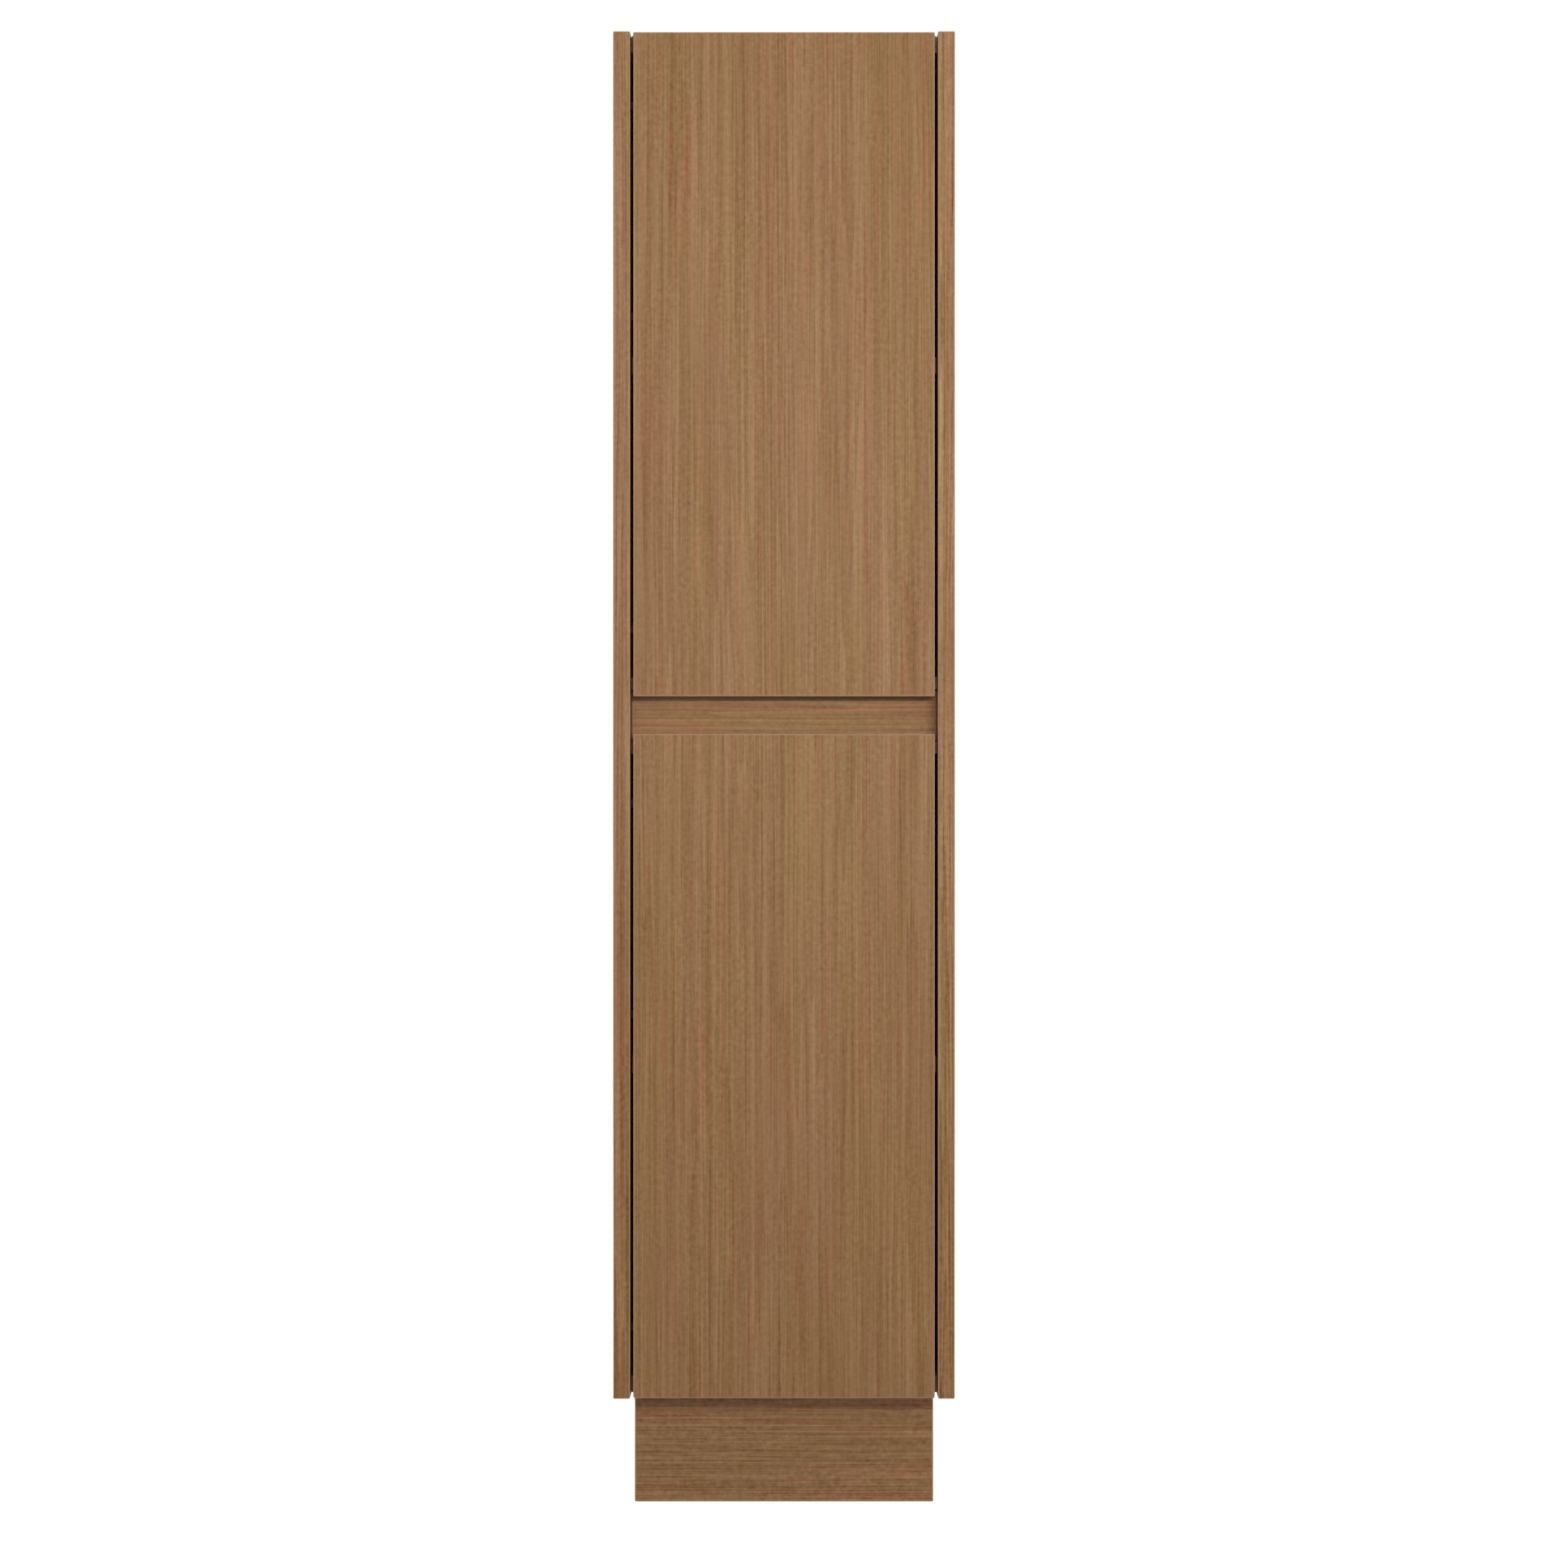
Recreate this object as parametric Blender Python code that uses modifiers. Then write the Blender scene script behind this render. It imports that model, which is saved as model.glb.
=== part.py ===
"""Pantry cabinet: two inset doors, a finger recess between them, a kick board. Metres, +Z up, front -Y."""
import math

import bmesh
import bpy
from mathutils import Matrix

# Overall sizes
WIDTH = 0.500
DEPTH = 0.580
BODY_HEIGHT = 2.000
KICK_HEIGHT = 0.165
BOARD = 0.025
THIN_BOARD = 0.018
BACK_BOARD = 0.008
GAP = 0.0003

# Doors and the recess between them
DOOR_SIDE_GAP = 0.0045
DOOR_END_GAP = 0.0012
RECESS_HEIGHT = 0.055
CHANNEL_HEIGHT = 0.113
CARCASS_SETBACK = 0.0225
RAIL_SETBACK = 0.038

# Carcass boards
BACK_INSET = 0.560
BOTTOM_RISE = 0.004
SHELF_SIDE_GAP = 0.0012
SHELF_FRONT = 0.026
SHELF_BACK = 0.545
WALL_RAIL_HEIGHT = 0.080

# Shelf pins and their holes
PIN_ROWS = (0.070, 0.500)
PIN_HOLE_RADIUS = 0.00265
PIN_RADIUS = 0.00235
PIN_HOLE_DEPTH = 0.010
PIN_LENGTH = 0.0175
PIN_PITCH = 0.032
PIN_HOLES_EACH_WAY = 3

# Kick board and legs
KICK_SETBACK = 0.050
KICK_WIDTH = 0.4425
KICK_THICKNESS = 0.016
LEG_X = 0.170
LEG_SETBACKS = (0.120, 0.500)
SOCKET_TUBE_RADIUS = 0.019
SHAFT_RADIUS = 0.014

# Hinges: axis measured from the left panel's inner face and from the door front
HINGE_FROM_PANEL = 0.013
HINGE_SETBACK = 0.0085
HINGE_HEIGHTS = (0.100, 0.560, 0.870)
HINGE_HOLE_RADIUS = 0.0023
HINGE_PIN_RADIUS = 0.0020
KNUCKLE_RADIUS = 0.0038
POCKET_HALF_HEIGHT = 0.012
POCKET_FLOOR = 0.0042
POCKET_END = 0.0383
ARM_HALF_HEIGHT = 0.006

# Heights worked out from the sizes above
BODY_BOTTOM = KICK_HEIGHT
BODY_TOP = BODY_BOTTOM + BODY_HEIGHT
BODY_MIDDLE = BODY_BOTTOM + BODY_HEIGHT / 2
INNER_HALF = WIDTH / 2 - BOARD
FRONT = -DEPTH / 2
LOWER_DOOR_BOTTOM = BODY_BOTTOM + DOOR_END_GAP
LOWER_DOOR_TOP = BODY_MIDDLE - RECESS_HEIGHT / 2
UPPER_DOOR_BOTTOM = BODY_MIDDLE + RECESS_HEIGHT / 2
UPPER_DOOR_TOP = BODY_TOP - DOOR_END_GAP
CHANNEL_BOTTOM = BODY_MIDDLE - CHANNEL_HEIGHT / 2
CHANNEL_TOP = BODY_MIDDLE + CHANNEL_HEIGHT / 2
BOTTOM_PANEL_TOP = BODY_BOTTOM + BOTTOM_RISE + BOARD
TOP_PANEL_BOTTOM = BODY_TOP - BOARD
UPPER_SHELF_MIDDLE = (TOP_PANEL_BOTTOM + CHANNEL_TOP) / 2
LOWER_SHELF_MIDDLE = (CHANNEL_BOTTOM + BOTTOM_PANEL_TOP) / 2
HINGE_X = -INNER_HALF + HINGE_FROM_PANEL


def start_scene():
    """Empty the scene and make one collection for the pieces and one for the cutters."""
    for old in list(bpy.data.objects):
        bpy.data.objects.remove(old, do_unlink=True)
    pieces = bpy.data.collections.new("pantry_cabinet")
    cutters = bpy.data.collections.new("cutters")
    bpy.context.scene.collection.children.link(pieces)
    bpy.context.scene.collection.children.link(cutters)
    return pieces, cutters


PIECES, CUTTERS = start_scene()


def depth(setback):
    """Y of a plane that lies the given distance behind the door fronts."""
    return FRONT + setback


def make_material(name, colour, roughness, metallic=0.0):
    material = bpy.data.materials.new(name)
    material.use_nodes = True
    shader = material.node_tree.nodes["Principled BSDF"]
    shader.inputs["Base Color"].default_value = (*colour, 1.0)
    shader.inputs["Roughness"].default_value = roughness
    shader.inputs["Metallic"].default_value = metallic
    return material


BODY_WOOD = make_material("body_wood", (0.31, 0.18, 0.09), 0.55)
DOOR_WOOD = make_material("door_wood", (0.32, 0.18, 0.09), 0.55)
INNER_WOOD = make_material("inner_wood", (0.28, 0.16, 0.08), 0.60)
KICK_WOOD = make_material("kick_wood", (0.23, 0.12, 0.06), 0.60)
STEEL = make_material("hinge_steel", (0.085, 0.078, 0.072), 0.38, 1.0)
PIN_STEEL = make_material("pin_steel", (0.62, 0.62, 0.63), 0.25, 1.0)
BLACK_PLASTIC = make_material("black_plastic", (0.02, 0.02, 0.02), 0.50)
CLEAR_RUBBER = make_material("bumper_rubber", (0.55, 0.55, 0.52), 0.60)


def finish(name, mesh, location, material):
    piece = bpy.data.objects.new(name, mesh)
    piece.location = location
    mesh.materials.append(material)
    PIECES.objects.link(piece)
    return piece


def block_mesh(name, low, high):
    """A box about its own centre, and where that centre lies."""
    size = [b - a for a, b in zip(low, high)]
    centre = [(a + b) / 2 for a, b in zip(low, high)]
    mesh = bpy.data.meshes.new(name)
    form = bmesh.new()
    bmesh.ops.create_cube(form, size=1.0)
    bmesh.ops.scale(form, vec=size, verts=form.verts)
    form.to_mesh(mesh)
    form.free()
    return mesh, centre


def board(name, low, high, material):
    mesh, centre = block_mesh(name, low, high)
    return finish(name, mesh, centre, material)


def rod_mesh(name, radius, length, axis, centres=((0.0, 0.0, 0.0),), segments=16):
    """Round bars along X, Y or Z at the given centres, in one mesh."""
    mesh = bpy.data.meshes.new(name)
    form = bmesh.new()
    for centre in centres:
        bar = bmesh.ops.create_cone(form, cap_ends=True, segments=segments, radius1=radius,
                                    radius2=radius, depth=length)
        if axis != "Z":
            turn = Matrix.Rotation(math.pi / 2, 3, "Y" if axis == "X" else "X")
            bmesh.ops.rotate(form, cent=(0, 0, 0), verts=bar["verts"], matrix=turn)
        bmesh.ops.translate(form, vec=centre, verts=bar["verts"])
    form.to_mesh(mesh)
    form.free()
    mesh.shade_smooth()
    mesh.set_sharp_from_angle(angle=math.radians(40))
    return mesh


def rod(name, radius, length, axis, centre, material, segments=16):
    mesh = rod_mesh(name, radius, length, axis, segments=segments)
    return finish(name, mesh, centre, material)


def turned(name, profile, location, material, steps=24):
    """A solid of revolution about Z; the profile runs down its outer side as (radius, height) pairs."""
    mesh = bpy.data.meshes.new(name)
    points = [(radius, 0.0, height) for radius, height in profile]
    edges = [(i, i + 1) for i in range(len(points) - 1)]
    mesh.from_pydata(points, edges, [])
    piece = finish(name, mesh, location, material)
    screw = piece.modifiers.new("turn", "SCREW")
    screw.axis = "Z"
    screw.angle = math.tau
    screw.steps = steps
    screw.render_steps = steps
    screw.use_merge_vertices = True
    screw.merge_threshold = 0.00001
    screw.use_smooth_shade = False
    return piece


def flat_outline(name, loops, half_thickness, location, material):
    """A plate in the XY plane; the first loop is its outline and the others are holes."""
    curve = bpy.data.curves.new(name, "CURVE")
    curve.dimensions = "2D"
    curve.fill_mode = "BOTH"
    curve.extrude = half_thickness
    for loop in loops:
        spline = curve.splines.new("POLY")
        spline.points.add(len(loop) - 1)
        for point, (x, y) in zip(spline.points, loop):
            point.co = (x, y, 0.0, 1.0)
        spline.use_cyclic_u = True
    curve.materials.append(material)
    piece = bpy.data.objects.new(name, curve)
    piece.location = location
    PIECES.objects.link(piece)
    return piece


def arc(radius, start, end, steps):
    """Points on a circle about the origin, from one angle to another in degrees."""
    points = []
    for i in range(steps + 1):
        angle = math.radians(start + (end - start) * i / steps)
        points.append((radius * math.cos(angle), radius * math.sin(angle)))
    return points


def combine(piece, name, mesh, location, operation):
    """Cut a shape out of a piece, or join it on."""
    tool = bpy.data.objects.new(name, mesh)
    tool.location = location
    tool.hide_render = True
    tool.display_type = "WIRE"
    CUTTERS.objects.link(tool)
    change = piece.modifiers.new(name, "BOOLEAN")
    change.operation = operation
    change.object = tool
    return tool


def cut_box(piece, name, low, high):
    mesh, centre = block_mesh(name, low, high)
    combine(piece, name, mesh, centre, "DIFFERENCE")


def hang_on(parent, pieces):
    """Parent pieces to an empty that stands on their joint's axis."""
    for piece in pieces:
        piece.parent = parent
        piece.location = piece.location - parent.location


def make_side_panel(side, sign):
    """A full-height side with blind rows of holes for the shelf pins."""
    inner = sign * INNER_HALF
    outer = sign * WIDTH / 2
    low = (min(inner, outer), FRONT, BODY_BOTTOM)
    high = (max(inner, outer), -FRONT, BODY_TOP)
    panel = board(f"{side}_side_panel", low, high, BODY_WOOD)
    centres = []
    for shelf_middle in (UPPER_SHELF_MIDDLE, LOWER_SHELF_MIDDLE):
        pin_height = shelf_middle - BOARD / 2 - GAP - PIN_RADIUS
        for step in range(-PIN_HOLES_EACH_WAY, PIN_HOLES_EACH_WAY + 1):
            for row in PIN_ROWS:
                centres.append((inner, depth(row), pin_height + step * PIN_PITCH))
    holes = rod_mesh(f"{side}_pin_holes", PIN_HOLE_RADIUS, 2 * PIN_HOLE_DEPTH, "X", centres, 12)
    combine(panel, f"{side}_pin_holes", holes, (0.0, 0.0, 0.0), "DIFFERENCE")


def make_carcass():
    make_side_panel("left", -1)
    make_side_panel("right", 1)
    half = INNER_HALF - GAP
    front = depth(CARCASS_SETBACK)
    back = depth(BACK_INSET) - GAP
    lipped = {
        "top_panel": (TOP_PANEL_BOTTOM, BODY_TOP),
        "bottom_panel": (BODY_BOTTOM + BOTTOM_RISE, BOTTOM_PANEL_TOP),
        "upper_fixed_shelf": (CHANNEL_TOP - THIN_BOARD, CHANNEL_TOP),
        "lower_fixed_shelf": (CHANNEL_BOTTOM, CHANNEL_BOTTOM + THIN_BOARD),
    }
    for name, (low, high) in lipped.items():
        board(name, (-half, front, low), (half, back, high), INNER_WOOD)
    board("finger_rail",
          (-half, depth(RAIL_SETBACK), CHANNEL_BOTTOM + THIN_BOARD + GAP),
          (half, depth(RAIL_SETBACK + THIN_BOARD), CHANNEL_TOP - THIN_BOARD - GAP), KICK_WOOD)
    board("back_panel",
          (-half, depth(BACK_INSET), BODY_BOTTOM + BOTTOM_RISE),
          (half, depth(BACK_INSET + BACK_BOARD), BODY_TOP), INNER_WOOD)
    board("wall_fixing_rail",
          (-half, back - THIN_BOARD, TOP_PANEL_BOTTOM - GAP - WALL_RAIL_HEIGHT),
          (half, back, TOP_PANEL_BOTTOM - GAP), INNER_WOOD)


def make_shelf(level, middle):
    """A loose shelf on four steel pins."""
    half = INNER_HALF - SHELF_SIDE_GAP
    underside = middle - BOARD / 2
    board(f"{level}_shelf", (-half, depth(SHELF_FRONT), underside),
          (half, depth(SHELF_BACK), middle + BOARD / 2), INNER_WOOD)
    pin_height = underside - GAP - PIN_RADIUS
    pin_middle = INNER_HALF + PIN_HOLE_DEPTH - GAP - PIN_LENGTH / 2
    for side, sign in (("left", -1), ("right", 1)):
        for place, row in zip(("front", "back"), PIN_ROWS):
            centre = (sign * pin_middle, depth(row), pin_height)
            rod(f"{level}_shelf_pin_{place}_{side}", PIN_RADIUS, PIN_LENGTH, "X", centre, PIN_STEEL, 12)


def make_leg(place, side, x, y):
    """A plastic socket under the bottom panel and the foot that slides in it."""
    top = BODY_BOTTOM + BOTTOM_RISE - GAP
    flange, wall_top, mouth = 0.005, 0.012, 0.088
    socket = [(0.0, 0.0), (0.034, 0.0), (0.034, -flange), (SOCKET_TUBE_RADIUS, -flange),
              (SOCKET_TUBE_RADIUS, -mouth), (SHAFT_RADIUS + GAP, -mouth),
              (SHAFT_RADIUS + GAP, -wall_top), (0.0, -wall_top)]
    turned(f"leg_socket_{place}_{side}", socket, (x, y, top), BLACK_PLASTIC)
    shaft_top, disc_top, disc_radius, edge = 0.140, 0.012, 0.029, 0.004
    foot = [(0.0, shaft_top), (SHAFT_RADIUS, shaft_top), (SHAFT_RADIUS, disc_top),
            (disc_radius, edge), (disc_radius, 0.0), (0.0, 0.0)]
    turned(f"foot_{place}_{side}", foot, (x, y, 0.0), BLACK_PLASTIC)


def make_kick_clip(side, x):
    """A clip on the back of the kick board whose jaws snap round a front leg socket."""
    reach = LEG_SETBACKS[0] - KICK_SETBACK - KICK_THICKNESS - GAP
    plate_half, plate_thickness, web_half = 0.020, 0.003, 0.003
    jaw_inner = SOCKET_TUBE_RADIUS + GAP
    jaw_outer = jaw_inner + 0.003
    web_angle = math.degrees(math.asin(web_half / jaw_outer))
    plate_back = -reach + plate_thickness
    outline = [(-plate_half, -reach), (plate_half, -reach), (plate_half, plate_back), (web_half, plate_back)]
    outline += arc(jaw_outer, web_angle - 90, 50, 12)
    outline += arc(jaw_inner, 50, -230, 22)
    outline += arc(jaw_outer, -230, -90 - web_angle, 12)
    outline += [(-web_half, plate_back), (-plate_half, plate_back)]
    centre = (x, depth(LEG_SETBACKS[0]), 0.110)
    flat_outline(f"kick_clip_{side}", [outline], 0.010, centre, BLACK_PLASTIC)


def make_base():
    board("kick_board",
          (-KICK_WIDTH / 2, depth(KICK_SETBACK), 0.0005),
          (KICK_WIDTH / 2, depth(KICK_SETBACK + KICK_THICKNESS), BODY_BOTTOM + BOTTOM_RISE - GAP), KICK_WOOD)
    for side, x in (("left", -LEG_X), ("right", LEG_X)):
        for place, setback in zip(("front", "back"), LEG_SETBACKS):
            make_leg(place, side, x, depth(setback))
        make_kick_clip(side, x)


def make_hinge(level, number, height):
    """A concealed pivot hinge: housing let into the door, pin, and arm on the side panel."""
    axis = (HINGE_X, depth(HINGE_SETBACK), height)
    door_edge = -INNER_HALF + DOOR_SIDE_GAP
    housing = board(f"{level}_hinge_housing_{number}",
                    (door_edge + GAP, depth(POCKET_FLOOR + GAP), height - POCKET_HALF_HEIGHT + GAP),
                    (-INNER_HALF + POCKET_END - GAP, depth(THIN_BOARD + 0.0018),
                     height + POCKET_HALF_HEIGHT - GAP), STEEL)
    mesh, centre = block_mesh(f"{level}_flange_{number}",
                              (-INNER_HALF + 0.019, depth(THIN_BOARD + GAP), height - 0.019),
                              (-INNER_HALF + 0.054, depth(THIN_BOARD + 0.0020), height + 0.019))
    combine(housing, f"{level}_flange_{number}", mesh, centre, "UNION")
    cut_box(housing, f"{level}_arm_slot_{number}",
            (door_edge - 0.010, FRONT - 0.010, height - ARM_HALF_HEIGHT - 0.0005),
            (-INNER_HALF + 0.0182, depth(0.030), height + ARM_HALF_HEIGHT + 0.0005))
    bore = rod_mesh(f"{level}_pin_bore_{number}", HINGE_HOLE_RADIUS, 0.040, "Z")
    combine(housing, f"{level}_pin_bore_{number}", bore, axis, "DIFFERENCE")

    pin = rod(f"{level}_hinge_pin_{number}", HINGE_PIN_RADIUS, 2 * POCKET_HALF_HEIGHT - 0.001, "Z", axis,
              PIN_STEEL)

    bar_half, plate_thickness = 0.0025, 0.0025
    panel_face = -HINGE_FROM_PANEL + GAP
    bend_front, bend_back, plate_back = 0.016, 0.0225, 0.0655
    meet = math.degrees(math.acos(bar_half / KNUCKLE_RADIUS))
    outline = arc(KNUCKLE_RADIUS, meet, meet - 360 + (180 - 2 * meet), 14)
    outline += [(-bar_half, bend_front), (panel_face, bend_front), (panel_face, plate_back),
                (panel_face + plate_thickness, plate_back), (panel_face + plate_thickness, bend_back),
                (bar_half, bend_back)]
    hole = arc(HINGE_HOLE_RADIUS, 0, 337.5, 15)
    flat_outline(f"{level}_hinge_arm_{number}", [outline, hole], ARM_HALF_HEIGHT, axis, STEEL)
    return [housing, pin]


def make_door(level, low, high, bumper_heights, strike_height):
    """A door with its hinge leaves, bumpers and strike plate, hung on an empty at the hinge axis."""
    half = INNER_HALF - DOOR_SIDE_GAP
    door = board(f"{level}_door", (-half, FRONT, low), (half, depth(THIN_BOARD), high), DOOR_WOOD)
    moving = [door]
    for number, offset in enumerate(HINGE_HEIGHTS, start=1):
        height = low + offset
        cut_box(door, f"{level}_pocket_{number}",
                (-half - 0.010, depth(POCKET_FLOOR), height - POCKET_HALF_HEIGHT),
                (-INNER_HALF + POCKET_END, depth(THIN_BOARD + 0.010), height + POCKET_HALF_HEIGHT))
        moving += make_hinge(level, number, height)
    bumper_length = CARCASS_SETBACK - THIN_BOARD - 2 * GAP
    for end, height in zip(("top", "bottom"), bumper_heights):
        centre = (INNER_HALF - 0.016, depth((CARCASS_SETBACK + THIN_BOARD) / 2), height)
        moving.append(rod(f"{level}_bumper_{end}", 0.004, bumper_length, "Y", centre, CLEAR_RUBBER, 20))
    strike = board(f"{level}_strike_plate",
                   (0.148, depth(THIN_BOARD + GAP), strike_height - 0.006),
                   (0.188, depth(THIN_BOARD + GAP + 0.0015), strike_height + 0.006), STEEL)
    moving.append(strike)
    board(f"{level}_magnet_catch",
          (0.145, depth(THIN_BOARD + 2 * GAP + 0.0015), strike_height - 0.0065),
          (0.191, depth(0.038), strike_height + 0.0065), BLACK_PLASTIC)
    axis = bpy.data.objects.new(f"{level}_door_axis", None)
    axis.location = (HINGE_X, depth(HINGE_SETBACK), (low + high) / 2)
    PIECES.objects.link(axis)
    hang_on(axis, moving)


make_carcass()
make_shelf("upper", UPPER_SHELF_MIDDLE)
make_shelf("lower", LOWER_SHELF_MIDDLE)
make_base()
make_door("upper", UPPER_DOOR_BOTTOM, UPPER_DOOR_TOP,
          (BODY_TOP - BOARD / 2, CHANNEL_TOP - THIN_BOARD / 2), CHANNEL_TOP + GAP + 0.0065)
make_door("lower", LOWER_DOOR_BOTTOM, LOWER_DOOR_TOP,
          (CHANNEL_BOTTOM + THIN_BOARD / 2, BOTTOM_PANEL_TOP - BOARD / 2), CHANNEL_BOTTOM - GAP - 0.0065)
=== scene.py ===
"""Pantry cabinet with two inset doors: looks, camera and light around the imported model."""

import math

import bmesh
import bpy
from mathutils import Matrix, Vector


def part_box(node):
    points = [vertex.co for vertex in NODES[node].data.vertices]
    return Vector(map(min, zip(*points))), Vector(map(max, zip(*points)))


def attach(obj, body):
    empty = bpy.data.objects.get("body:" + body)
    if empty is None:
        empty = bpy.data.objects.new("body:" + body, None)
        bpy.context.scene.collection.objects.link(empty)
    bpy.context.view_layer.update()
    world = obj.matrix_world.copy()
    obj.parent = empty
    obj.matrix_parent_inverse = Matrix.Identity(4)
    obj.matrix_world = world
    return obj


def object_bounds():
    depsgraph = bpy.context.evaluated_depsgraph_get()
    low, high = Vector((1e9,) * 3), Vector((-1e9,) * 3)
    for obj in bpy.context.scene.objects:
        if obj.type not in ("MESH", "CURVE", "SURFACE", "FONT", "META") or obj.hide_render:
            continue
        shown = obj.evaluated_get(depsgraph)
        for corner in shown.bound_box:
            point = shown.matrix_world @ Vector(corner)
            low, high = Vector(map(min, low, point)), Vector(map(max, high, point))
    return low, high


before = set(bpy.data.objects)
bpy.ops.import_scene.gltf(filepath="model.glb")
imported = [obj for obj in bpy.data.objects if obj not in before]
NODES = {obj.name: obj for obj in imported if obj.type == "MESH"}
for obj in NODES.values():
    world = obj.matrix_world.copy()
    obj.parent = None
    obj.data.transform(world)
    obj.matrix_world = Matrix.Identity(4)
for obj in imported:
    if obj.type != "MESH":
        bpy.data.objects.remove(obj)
CAD_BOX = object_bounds()

# Shared sizes, in metres
FRONT_Y = CAD_BOX[0][1]
BAND_RADIUS = 0.0016
BACK_PANEL_RADIUS = 0.0003
SCREW_STAND_OFF = 0.00004

# Wood tones, linear RGB
WARM = (0.266, 0.138, 0.0585)
OLIVE = (0.258, 0.140, 0.0510)
RED = (0.294, 0.131, 0.0580)
# Edging tone: partly the ABS edging's own paler, greyer colour, partly a painted highlight standing in for
# the light caught by the rounded edges.
BAND_TONE_AND_HIGHLIGHT = (0.365, 0.222, 0.142)
TONE_SWING = (0.80, 1.15, 1.65)    # how far red, green and blue follow the grain

# The layers of the wood grain: cycles per metre across and along it, noise detail and noise roughness
GRAIN_BANDS = (20.0, 0.6, 2.0, 0.5)
GRAIN_STREAKS = (95.0, 0.9, 3.0, 0.6)
GRAIN_LINES = (300.0, 2.3, 2.0, 0.7)
GRAIN_RINGS = (34.0, 0.55, 1.5, 0.5)
GRAIN_PORES = (360.0, 30.0, 2.0, 0.65)
CROSS_FIGURE = (150.0, 135.0, 3.0, 0.6)
FIGURE_PATCHES = (16.0, 5.0, 1.0, 0.5)
RED_PATCHES = (70.0, 3.2, 3.0, 0.5)
OLIVE_PATCHES = (26.0, 1.2, 3.0, 0.5)
GRAIN_DRIFT = (3.0, 1.3, 1.0, 0.5)
DRIFT = 0.006                      # how far the grain wanders sideways, in metres
RINGS_PER_NOISE = 11.0             # pale-to-dark growth rings in one swing of their noise


# ---------------------------------------------------------------- node helpers

class Graph:
    """Small wrapper that adds and links nodes."""

    def __init__(self, tree):
        self.tree = tree

    def node(self, kind, inputs=(), **settings):
        made = self.tree.nodes.new(kind)
        for key, value in settings.items():
            setattr(made, key, value)
        for key, value in dict(inputs).items():
            self.feed(made.inputs[key], value)
        return made

    def feed(self, socket, value):
        if isinstance(value, bpy.types.NodeSocket):
            self.tree.links.new(value, socket)
        else:
            socket.default_value = value

    def math(self, operation, a, b=0.0, c=0.0, clamp=False):
        made = self.node("ShaderNodeMath", {0: a, 1: b, 2: c}, operation=operation, use_clamp=clamp)
        return made.outputs[0]

    def vector(self, operation, a, b=(0.0, 0.0, 0.0)):
        return self.node("ShaderNodeVectorMath", {0: a, 1: b}, operation=operation).outputs[0]

    def noise(self, where, detail=2.0, roughness=0.5, scale=1.0):
        made = self.node("ShaderNodeTexNoise",
                         {"Vector": where, "Scale": scale, "Detail": detail, "Roughness": roughness})
        return made.outputs["Fac"]

    def mix(self, factor, a, b):
        made = self.node("ShaderNodeMix", data_type="RGBA")
        self.feed(made.inputs[0], factor)
        self.feed(made.inputs[6], a)
        self.feed(made.inputs[7], b)
        return made.outputs[2]

    def stretch(self, where, across, along, grain):
        """Coordinates squeezed along the grain: across and along are cycles per metre."""
        scale = [across] * 3
        scale["XYZ".index(grain)] = along
        return self.vector("MULTIPLY", where, tuple(scale))

    def layer(self, where, grain, across, along, detail, roughness):
        """One layer of grain: noise drawn out along the board."""
        return self.noise(self.stretch(where, across, along, grain), detail, roughness)

    def scaled(self, vector, factor):
        return self.node("ShaderNodeVectorMath", {0: vector, 3: factor}, operation="SCALE").outputs[0]

    def spread(self, noise, amount):
        """A noise about 0.5 turned into a value about 0, times amount."""
        return self.math("MULTIPLY_ADD", noise, amount, -amount / 2)

    def total(self, *values):
        result = values[0]
        for value in values[1:]:
            result = self.math("ADD", result, value)
        return result


class Surface(Graph):
    """The nodes of one new material."""

    def __init__(self, name):
        self.material = bpy.data.materials.new(name)
        self.material.use_nodes = True
        super().__init__(self.material.node_tree)
        self.shader = self.tree.nodes["Principled BSDF"]

    def bump(self, height, strength, distance):
        made = self.node("ShaderNodeBump", {"Height": height, "Strength": strength, "Distance": distance})
        self.feed(self.shader.inputs["Normal"], made.outputs[0])


def rgba(colour):
    return (*colour, 1.0)


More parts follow.
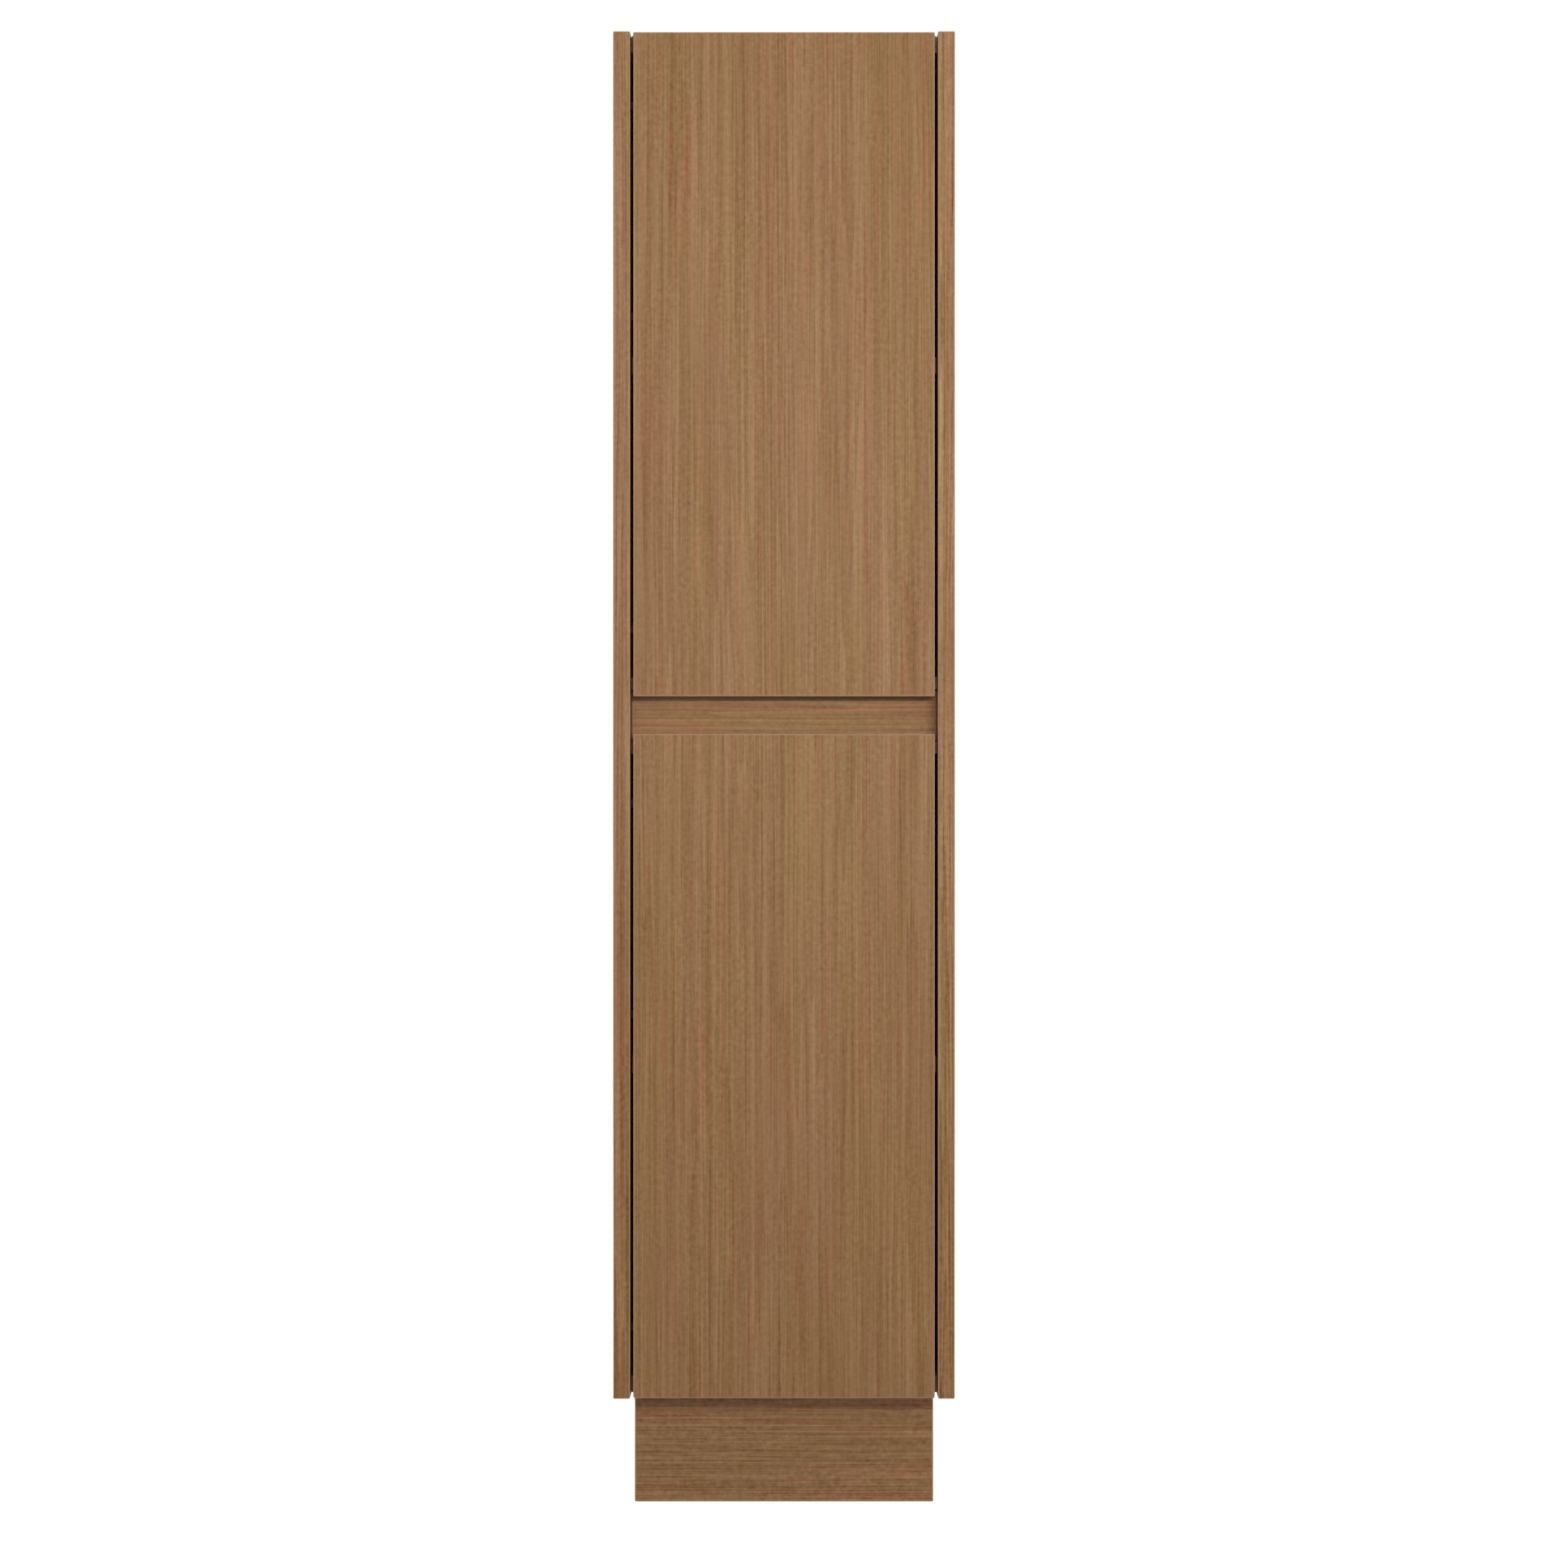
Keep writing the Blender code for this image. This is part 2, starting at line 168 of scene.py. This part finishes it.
def wood(name, grain, offset=(0.0, 0.0, 0.0), value=1.0, streak=None, figure=1.0, contrast=1.0, broad=1.0,
         fine=1.0, warmth=0.0):
    """Matt quarter-cut wood decor: soft bands and rings, streaks, fine lines, pores and a cross figure.

    Contrast scales every layer but the cross figure, which figure scales; broad scales the wide layers;
    fine multiplies the number of lines; warmth adds to the red patches.
    """
    g = Surface(name)
    where = g.vector("ADD", g.node("ShaderNodeTexCoord").outputs["Object"], offset)
    drift = g.layer(where, grain, *GRAIN_DRIFT)
    sway = g.vector("MULTIPLY", g.node("ShaderNodeCombineXYZ", {0: drift, 1: drift, 2: drift}).outputs[0],
                    (DRIFT, DRIFT, DRIFT))
    bent = g.vector("ADD", where, sway)
    across, *line_shape = GRAIN_LINES
    bands = g.layer(bent, grain, *GRAIN_BANDS)
    streaks = g.layer(bent, grain, *GRAIN_STREAKS)
    lines = g.layer(bent, grain, across * fine, *line_shape)
    rings = g.math("FRACT", g.math("MULTIPLY", g.layer(bent, grain, *GRAIN_RINGS), RINGS_PER_NOISE))
    pores = g.layer(bent, grain, *GRAIN_PORES)
    flecks = g.layer(bent, grain, *CROSS_FIGURE)
    patch = g.layer(where, grain, *FIGURE_PATCHES)
    red_tone = g.layer(g.vector("ADD", bent, (3.1, 1.7, 2.3)), grain, *RED_PATCHES)
    olive_tone = g.layer(g.vector("ADD", bent, (7.7, 5.2, 4.9)), grain, *OLIVE_PATCHES)

    swing = g.total(
        g.spread(bands, 0.30 * contrast * broad),
        g.spread(streaks, 0.50 * contrast * broad),
        g.spread(lines, 1.00 * contrast),
        g.spread(pores, 0.42 * contrast),
        g.spread(rings, 0.20 * contrast * broad),
        g.math("MULTIPLY", g.spread(flecks, 0.75 * figure), g.math("MULTIPLY_ADD", patch, 1.2, 0.3)))
    if streak:
        swing = g.math("ADD", swing, long_streak(g, bent, grain, *streak))

    reddish = g.math("MULTIPLY_ADD", red_tone, 5.0, warmth - 2.70, clamp=True)
    greenish = g.math("MULTIPLY_ADD", olive_tone, 4.0, -1.75, clamp=True)
    tone = g.mix(greenish, rgba(WARM), rgba(OLIVE))
    tone = g.mix(reddish, tone, rgba(RED))
    gain = g.vector("ADD", g.scaled(TONE_SWING, swing), (1.0, 1.0, 1.0))
    gain = g.vector("MULTIPLY", gain, (value, value, value))
    g.feed(g.shader.inputs["Base Color"], g.vector("MULTIPLY", tone, gain))
    g.feed(g.shader.inputs["Roughness"], g.math("MULTIPLY_ADD", pores, 0.16, 0.50))
    g.shader.inputs["Specular IOR Level"].default_value = 0.22
    g.bump(pores, 0.25, 0.00015)
    return g.material


def long_streak(g, where, grain, position, width, strength):
    """One pale line that runs the whole length of a board."""
    across = g.node("ShaderNodeSeparateXYZ", {0: where}).outputs["X" if grain != "X" else "Z"]
    away = g.math("ABSOLUTE", g.math("SUBTRACT", across, position))
    falloff = g.math("MULTIPLY_ADD", away, -1.0 / width, 1.0, clamp=True)
    return g.math("MULTIPLY", falloff, strength)


def edge_band_and_highlight(name, grain, offset=(0.0, 0.0, 0.0)):
    """The ABS edging round a board's edges: the same wood print, paler and greyer; the paler tone is partly a
    painted highlight, standing in for the light that the rounded edges catch.
    """
    g = Surface(name)
    where = g.vector("ADD", g.node("ShaderNodeTexCoord").outputs["Object"], offset)
    lines = g.layer(where, grain, 300.0, 5.0, 3.0, 0.6)
    slow = g.layer(where, grain, 12.0, 6.0, 2.0, 0.5)
    light = g.total(g.spread(lines, 0.14), g.spread(slow, 0.08), 1.0)
    g.feed(g.shader.inputs["Base Color"], g.scaled(BAND_TONE_AND_HIGHLIGHT, light))
    g.feed(g.shader.inputs["Roughness"], g.math("MULTIPLY_ADD", lines, 0.10, 0.52))
    g.shader.inputs["Specular IOR Level"].default_value = 0.30
    return g.material


def plated_steel(name, colour, roughness):
    """Nickel-plated steel with fine brushing and faint handling marks."""
    g = Surface(name)
    where = g.node("ShaderNodeTexCoord").outputs["Object"]
    brushing = g.layer(where, "Z", 2600.0, 160.0, 3.0, 0.6)
    marks = g.noise(where, 4.0, 0.6, 70.0)
    light = g.math("ADD", g.spread(brushing, 0.10), g.math("MULTIPLY_ADD", marks, 0.16, 0.92))
    g.feed(g.shader.inputs["Base Color"], g.scaled(colour, light))
    g.feed(g.shader.inputs["Roughness"], g.math("MULTIPLY_ADD", marks, 0.22, roughness - 0.08))
    g.shader.inputs["Metallic"].default_value = 1.0
    g.bump(brushing, 0.12, 0.00005)
    return g.material


def moulded_plastic(name, colour, roughness):
    """Moulded plastic with a fine spark-eroded grain."""
    g = Surface(name)
    where = g.node("ShaderNodeTexCoord").outputs["Object"]
    grain = g.noise(where, 3.0, 0.7, 1400.0)
    cloud = g.noise(where, 3.0, 0.5, 28.0)
    light = g.math("ADD", g.spread(grain, 0.20), g.math("MULTIPLY_ADD", cloud, 0.30, 0.85))
    g.feed(g.shader.inputs["Base Color"], g.scaled(colour, light))
    g.feed(g.shader.inputs["Roughness"], g.math("MULTIPLY_ADD", grain, 0.12, roughness - 0.06))
    g.bump(grain, 0.30, 0.0001)
    return g.material


# ------------------------------------------------------------------- materials

BOARDS = {
    "left_side_panel": dict(grain="Z", offset=(4.03, 0.0, 0.0), contrast=1.35, warmth=0.2, value=1.02),
    "right_side_panel": dict(grain="Z", offset=(2.37, 0.0, 0.4), contrast=1.8, warmth=0.1, value=1.03),
    "upper_door": dict(grain="Z", offset=(0.0, 0.0, 0.0), streak=(-0.044, 0.0035, 0.07)),
    "lower_door": dict(grain="Z", offset=(0.0, 0.0, 0.0), streak=(-0.044, 0.0030, 0.14)),
    # The finger rail's raised value is painted light: the rail is made lighter to make up for the shade it
    # gets, set back in the finger recess.
    "finger_rail": dict(grain="X", offset=(0.0, 1.3, 2.2), value=1.14, figure=0.8, warmth=0.35),
    "kick_board": dict(grain="X", offset=(1.3, 2.9, 5.8), value=0.98, contrast=1.6, broad=0.3, fine=1.8,
                       figure=1.4, warmth=0.2),
    "top_panel": dict(grain="X", offset=(2.0, 3.1, 0.7), value=0.97),
    "bottom_panel": dict(grain="X", offset=(0.6, 4.4, 1.9), value=0.97),
    "upper_fixed_shelf": dict(grain="X", offset=(1.6, 0.4, 2.9), value=0.97),
    "lower_fixed_shelf": dict(grain="X", offset=(3.6, 1.4, 3.9), value=0.97),
    "upper_shelf": dict(grain="X", offset=(5.6, 2.4, 0.9), value=0.97),
    "lower_shelf": dict(grain="X", offset=(7.6, 3.4, 1.4), value=0.97),
    "wall_fixing_rail": dict(grain="X", offset=(6.1, 2.8, 4.4), value=0.97),
    "back_panel": dict(grain="Z", offset=(2.7, 6.4, 1.1), value=0.93, figure=0.6),
}
STEEL = plated_steel("hinge_steel", (0.040, 0.037, 0.034), 0.55)
PIN_STEEL = plated_steel("pin_steel", (0.66, 0.65, 0.64), 0.24)
BLACK_PLASTIC = moulded_plastic("black_plastic", (0.022, 0.022, 0.024), 0.48)
BUMPER_RUBBER = moulded_plastic("bumper_rubber", (0.52, 0.52, 0.48), 0.55)


def outer_edge_marker():
    """Node group that weights the edges of a board's outer box for rounding and leaves its bores sharp."""
    tree = bpy.data.node_groups.new("outer_edges", "GeometryNodeTree")
    for way in ("INPUT", "OUTPUT"):
        tree.interface.new_socket("Geometry", in_out=way, socket_type="NodeSocketGeometry")
    g = Graph(tree)
    board = g.node("NodeGroupInput").outputs[0]
    middle = g.node("GeometryNodeInputPosition").outputs[0]
    box = g.node("GeometryNodeBoundBox", {"Geometry": board})
    near = g.vector("MINIMUM", *(g.vector("ABSOLUTE", g.vector("SUBTRACT", middle, box.outputs[corner]))
                                 for corner in ("Min", "Max")))
    x, y, z = g.node("ShaderNodeSeparateXYZ", {0: near}).outputs
    on_faces = g.math("ADD", g.math("LESS_THAN", x, 0.0001), g.math("LESS_THAN", y, 0.0001))
    on_faces = g.math("ADD", on_faces, g.math("LESS_THAN", z, 0.0001))
    marked = g.node("GeometryNodeStoreNamedAttribute",
                    {"Geometry": board, "Name": "bevel_weight_edge",
                     "Value": g.math("GREATER_THAN", on_faces, 1.5)}, data_type="FLOAT", domain="EDGE")
    g.node("NodeGroupOutput", {0: marked.outputs[0]})
    return tree


OUTER_EDGES = outer_edge_marker()


def weld(piece):
    """Joins an imported mesh's split corners and flat triangles, so that its edges can be rounded."""
    piece.modifiers.new("welded", "WELD").merge_threshold = 0.00002
    flat = piece.modifiers.new("flat_faces", "DECIMATE")
    flat.decimate_type = "DISSOLVE"
    flat.angle_limit = math.radians(1.0)


def round_edges(piece, width, segments, angle=50):
    weld(piece)
    bevel = piece.modifiers.new("rounded_edges", "BEVEL")
    bevel.width = width
    bevel.segments = segments
    bevel.limit_method = "ANGLE"
    bevel.angle_limit = math.radians(angle)
    bevel.harden_normals = True


def round_board(piece, width, segments):
    """Rounds a board's outer edges, which takes the material of its second slot."""
    weld(piece)
    piece.modifiers.new("outer_edges", "NODES").node_group = OUTER_EDGES
    bevel = piece.modifiers.new("rounded_edges", "BEVEL")
    bevel.width = width
    bevel.segments = segments
    bevel.limit_method = "WEIGHT"
    bevel.use_clamp_overlap = False
    bevel.loop_slide = False
    bevel.harden_normals = True
    bevel.material = 1


def dress(piece, *materials):
    piece.data.materials.clear()
    for material in materials:
        piece.data.materials.append(material)


for name, look in BOARDS.items():
    # Each board's edging material is partly a painted highlight along its rounded edges.
    band_and_highlight = edge_band_and_highlight(f"{name}_band", look["grain"], look["offset"])
    dress(NODES[name], wood(f"{name}_wood", **look), band_and_highlight)
    round_board(NODES[name], BACK_PANEL_RADIUS if name == "back_panel" else BAND_RADIUS, 3)

for name, piece in NODES.items():
    if name in BOARDS:
        continue
    if "pin" in name:
        dress(piece, PIN_STEEL)
        round_edges(piece, 0.0003, 2)
    elif "hinge" in name or "strike" in name:
        dress(piece, STEEL)
        round_edges(piece, 0.0003, 2)
    elif "bumper" in name:
        dress(piece, BUMPER_RUBBER)
        round_edges(piece, 0.0008, 3)
    else:
        dress(piece, BLACK_PLASTIC)
        round_edges(piece, 0.0006, 2)


# ---------------------------------------------------------------------- screws

def revolve(form, profile, steps):
    """Adds a solid turned round +Z; profile runs from the axis at the top to the axis at the bottom."""
    rings = []
    for radius, height in profile[1:-1]:
        rings.append([form.verts.new((radius * math.cos(turn), radius * math.sin(turn), height))
                      for turn in (2 * math.pi * step / steps for step in range(steps))])
    top = form.verts.new((0.0, 0.0, profile[0][1]))
    bottom = form.verts.new((0.0, 0.0, profile[-1][1]))
    for step in range(steps):
        after = (step + 1) % steps
        form.faces.new((top, rings[0][step], rings[0][after]))
        for upper, lower in zip(rings, rings[1:]):
            form.faces.new((upper[step], lower[step], lower[after], upper[after]))
        form.faces.new((bottom, rings[-1][after], rings[-1][step]))


def cross_recess_head():
    """A pan screw head, 1 wide and 1 high in its own units, with a cross recess cut into it."""
    form = bmesh.new()
    revolve(form, [(0.0, 1.0), (0.45, 0.97), (0.75, 0.80), (0.93, 0.50), (1.0, 0.12), (1.0, 0.0), (0.0, 0.0)],
            28)
    mesh = bpy.data.meshes.new("screw_head")
    form.to_mesh(mesh)
    form.free()
    head = bpy.data.objects.new("screw_head", mesh)
    cutters = []
    for across, along in ((0.11, 0.62), (0.62, 0.11)):
        form = bmesh.new()
        bmesh.ops.create_cube(form, size=2.0)
        for vert in form.verts:
            narrow = 1.0 if vert.co.z > 0 else 0.45
            vert.co = (vert.co.x * across * narrow, vert.co.y * along * narrow, 0.75 + vert.co.z * 0.55)
        tool_mesh = bpy.data.meshes.new("recess")
        form.to_mesh(tool_mesh)
        form.free()
        tool = bpy.data.objects.new("recess", tool_mesh)
        cutters.append(tool)
        cut = head.modifiers.new("recess", "BOOLEAN")
        cut.operation, cut.solver, cut.object = "DIFFERENCE", "EXACT", tool
    for made in (head, *cutters):
        bpy.context.scene.collection.objects.link(made)
    finished = bpy.data.meshes.new_from_object(head.evaluated_get(bpy.context.evaluated_depsgraph_get()))
    for made in (head, *cutters):
        bpy.data.objects.remove(made)
    return finished


SCREW_HEAD = cross_recess_head()


def screws(name, body, material, places, out, radius, height):
    """One piece of screw heads that stand on a surface which faces the direction out."""
    turn = Vector(out).to_track_quat("Z", "Y").to_matrix().to_4x4()
    form = bmesh.new()
    for number, place in enumerate(places):
        stand = Vector(place) + Vector(out) * SCREW_STAND_OFF
        shape = Matrix.Translation(stand) @ turn @ Matrix.Rotation(0.5 + 1.1 * number, 4, "Z")
        part = SCREW_HEAD.copy()
        part.transform(shape @ Matrix.Diagonal((radius, radius, height, 1.0)))
        form.from_mesh(part)
    mesh = bpy.data.meshes.new(name)
    form.to_mesh(mesh)
    form.free()
    mesh.materials.append(material)
    piece = bpy.data.objects.new(name, mesh)
    bpy.context.scene.collection.objects.link(piece)
    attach(piece, body)


def add_screws():
    for level in ("upper", "lower"):
        for number in (1, 2, 3):
            low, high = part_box(f"{level}_hinge_housing_{number}")
            middle = (low.z + high.z) / 2
            places = [(high.x - 0.011, high.y, middle + rise) for rise in (-0.0125, 0.0125)]
            screws(f"{level}_housing_screws_{number}", f"{level}_door", STEEL,
                   places, (0, 1, 0), 0.0034, 0.0011)
            low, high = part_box(f"{level}_hinge_arm_{number}")
            face = low.x + 0.0025
            places = [(face, high.y - back, (low.z + high.z) / 2) for back in (0.010, 0.030)]
            screws(f"{level}_arm_screws_{number}", "cabinet", STEEL,
                   places, (1, 0, 0), 0.0036, 0.0012)
    for side in ("left", "right"):
        low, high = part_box(f"kick_clip_{side}")
        centre = (low.x + high.x) / 2
        places = [(centre + shift, low.y + 0.003, (low.z + high.z) / 2) for shift in (-0.0125, 0.0125)]
        screws(f"kick_clip_screws_{side}", "cabinet", PIN_STEEL,
               places, (0, 1, 0), 0.0030, 0.0014)
        for place in ("front", "back"):
            low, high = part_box(f"leg_socket_{place}_{side}")
            centre = (low + high) / 2
            places = [(centre.x + 0.0285 * math.cos(turn), centre.y + 0.0285 * math.sin(turn), high.z - 0.005)
                      for turn in (math.radians(45 + 90 * quarter) for quarter in range(4))]
            screws(f"leg_socket_screws_{place}_{side}", "cabinet", PIN_STEEL,
                   places, (0, 0, -1), 0.0030, 0.0015)
    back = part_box("back_panel")[1].y
    places = []
    for node in ("top_panel", "upper_fixed_shelf", "lower_fixed_shelf", "bottom_panel"):
        low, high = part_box(node)
        places += [(across, back, (low.z + high.z) / 2) for across in (-0.19, -0.065, 0.065, 0.19)]
    screws("back_panel_screws", "cabinet", PIN_STEEL,
           places, (0, 1, 0), 0.0036, 0.0014)


add_screws()


# --------------------------------------------------------------- floor and light

def make_floor(glow):
    """A plain pale studio floor."""
    mesh = bpy.data.meshes.new("studio_floor")
    form = bmesh.new()
    bmesh.ops.create_circle(form, cap_ends=True, segments=96, radius=30.0)
    form.to_mesh(mesh)
    form.free()
    floor = bpy.data.objects.new("studio_floor", mesh)
    bpy.context.scene.collection.objects.link(floor)
    g = Surface("pale_floor")
    g.shader.inputs["Base Color"].default_value = (0.80, 0.80, 0.80, 1.0)
    g.shader.inputs["Roughness"].default_value = 0.9
    g.shader.inputs["Specular IOR Level"].default_value = 0.0
    g.shader.inputs["Emission Color"].default_value = (1.0, 1.0, 1.0, 1.0)
    g.shader.inputs["Emission Strength"].default_value = glow
    mesh.materials.append(g.material)
    floor.visible_diffuse = False


def softbox(name, place, aim, size, power):
    lamp = bpy.data.lights.new(name, "AREA")
    lamp.shape = "RECTANGLE"
    lamp.size, lamp.size_y = size
    lamp.energy = power
    box = bpy.data.objects.new(name, lamp)
    box.location = place
    box.rotation_euler = (Vector(aim) - Vector(place)).to_track_quat("-Z", "Y").to_euler()
    box.visible_camera = False
    bpy.context.scene.collection.objects.link(box)


def make_world(seen, given):
    """A plain white surround; what it shows and what it lights with are set apart."""
    world = bpy.data.worlds.new("studio")
    bpy.context.scene.world = world
    world.use_nodes = True
    tree = world.node_tree
    tree.nodes.clear()
    output = tree.nodes.new("ShaderNodeOutputWorld")
    shown = tree.nodes.new("ShaderNodeBackground")
    shown.inputs["Strength"].default_value = seen
    lit = tree.nodes.new("ShaderNodeBackground")
    lit.inputs["Strength"].default_value = given
    for background in (shown, lit):
        background.inputs["Color"].default_value = (1.0, 1.0, 1.0, 1.0)
    path = tree.nodes.new("ShaderNodeLightPath")
    choose = tree.nodes.new("ShaderNodeMixShader")
    tree.links.new(path.outputs["Is Camera Ray"], choose.inputs[0])
    tree.links.new(lit.outputs[0], choose.inputs[1])
    tree.links.new(shown.outputs[0], choose.inputs[2])
    tree.links.new(choose.outputs[0], output.inputs["Surface"])


make_floor(0.88)
make_world(1.05, 0.44)
softbox("key_light", (0.62, FRONT_Y - 2.60, 1.60), (0.0, FRONT_Y, 1.80), (1.4, 0.3), 41.0)
softbox("fill_light", (-0.30, FRONT_Y - 2.60, 2.80), (0.0, FRONT_Y, 2.20), (1.5, 1.0), 11.0)
softbox("left_light", (-2.9, 0.7, 1.7), (-0.25, 0.0, 1.2), (1.2, 1.6), 30.0)
softbox("right_light", (2.9, 0.7, 1.9), (0.25, 0.0, 1.2), (1.2, 1.6), 38.0)
softbox("back_light", (-0.9, 2.6, 2.6), (0.0, 0.29, 1.3), (1.6, 1.2), 48.0)
softbox("top_light", (0.0, 0.6, 4.3), (0.0, 0.1, 2.1), (1.4, 1.4), 26.0)


# ---------------------------------------------------------------------- camera

CAMERA_DISTANCE = 3.600
CAMERA_HEIGHT = 1.0643
HALF_FRAME = 1.146
SENSOR = 36.0

lens = bpy.data.cameras.new("camera")
lens.sensor_width = SENSOR
lens.lens = SENSOR / 2 * CAMERA_DISTANCE / HALF_FRAME
camera = bpy.data.objects.new("camera", lens)
camera.location = (0.0, FRONT_Y - CAMERA_DISTANCE, CAMERA_HEIGHT)
camera.rotation_euler = (math.pi / 2, 0.0, 0.0)
bpy.context.scene.collection.objects.link(camera)
bpy.context.scene.camera = camera
bpy.context.scene.view_settings.view_transform = "Standard"
